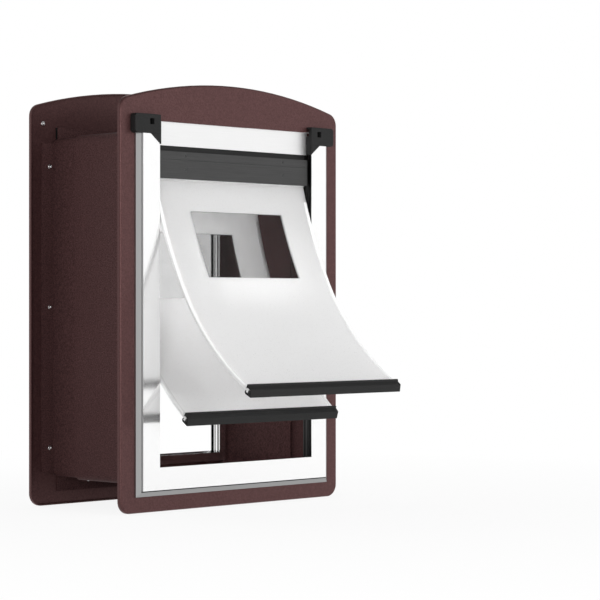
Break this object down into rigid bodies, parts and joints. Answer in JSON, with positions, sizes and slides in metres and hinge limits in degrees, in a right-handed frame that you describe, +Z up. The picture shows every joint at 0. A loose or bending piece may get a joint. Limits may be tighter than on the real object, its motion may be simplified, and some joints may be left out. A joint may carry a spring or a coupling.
{
  "type": "dog door",
  "caption": "Wall-mounted dog door with arched bronze plates, a telescoping tunnel, bright panel tracks and soft white flaps with clear windows and magnet bars.",
  "frame": {"origin": "middle of the front plate's bottom edge, in the plane of the wall's front surface", "axes": "X across the door, +Y into the wall from the front plate to the rear plate, +Z up"},
  "size_m": [0.36, 0.3251, 0.4969],
  "materials": {
    "bronze_coat": "satin brown-bronze powder coat",
    "bright_aluminium": "bright polished extrusion",
    "black_plastic": "moulded, fine texture",
    "grey_plastic": "extruded, satin",
    "white_flap": "soft milky white sheet",
    "clear_window": "clear, slightly smoky soft sheet",
    "zinc_screw": "zinc plated",
    "black_screw": "black oxide",
    "seal_rubber": "soft black strip",
    "bar_magnet": "bare ferrite"
  },
  "bodies": {
    "front_frame": {"front_plate": "bronze_coat", "front_track_left": "bright_aluminium", "front_track_right": "bright_aluminium", "front_track_bottom": "bright_aluminium", "front_seal_left": "seal_rubber", "front_seal_right": "seal_rubber", "front_corner_block_left": "black_plastic", "front_corner_block_right": "black_plastic", "front_header": "bright_aluminium", "front_track_screws": "zinc_screw", "front_block_screws": "zinc_screw", "front_hinge_rail": "black_plastic", "front_clamp_strip": "grey_plastic", "front_cover_strip": "grey_plastic", "front_hinge_screws": "black_screw", "tunnel_sleeve": "bronze_coat"},
    "rear_frame": {"rear_plate": "bronze_coat", "rear_track_left": "bright_aluminium", "rear_track_right": "bright_aluminium", "rear_track_bottom": "bright_aluminium", "rear_seal_left": "seal_rubber", "rear_seal_right": "seal_rubber", "rear_corner_block_left": "black_plastic", "rear_corner_block_right": "black_plastic", "rear_header": "bright_aluminium", "rear_track_screws": "zinc_screw", "rear_block_screws": "zinc_screw", "rear_hinge_rail": "black_plastic", "rear_clamp_strip": "grey_plastic", "rear_cover_strip": "grey_plastic", "rear_hinge_screws": "black_screw", "tunnel_collar": "bronze_coat", "hinge_bracket_left": "bronze_coat", "hinge_bracket_right": "bronze_coat"},
    "front_flap": {"front_flap": "white_flap", "front_window": "clear_window", "front_magnet_channel": "black_plastic", "front_magnet": "bar_magnet"},
    "rear_flap": {"rear_flap": "white_flap", "rear_window": "clear_window", "rear_magnet_channel": "black_plastic", "rear_magnet": "bar_magnet"}
  },
  "joints": [
    {"name": "tunnel_slide", "type": "slide", "parent": "front_frame", "child": "rear_frame", "axis": [0, 1, 0], "range_m": [-0.025, 0.05]},
    {"name": "front_flap_swing", "type": "hinge", "parent": "front_frame", "child": "front_flap", "pos_m": [0, 0.0017, 0.3852], "axis": [1, 0, 0], "range_deg": [-35, 60]},
    {"name": "rear_flap_swing", "type": "hinge", "parent": "rear_frame", "child": "rear_flap", "pos_m": [0, 0.082, 0.364], "axis": [1, 0, 0], "range_deg": [-35, 60]}
  ],
  "couplings": [
    {"joint": "rear_flap_swing", "follows": "front_flap_swing", "ratio": 1}
  ]
}
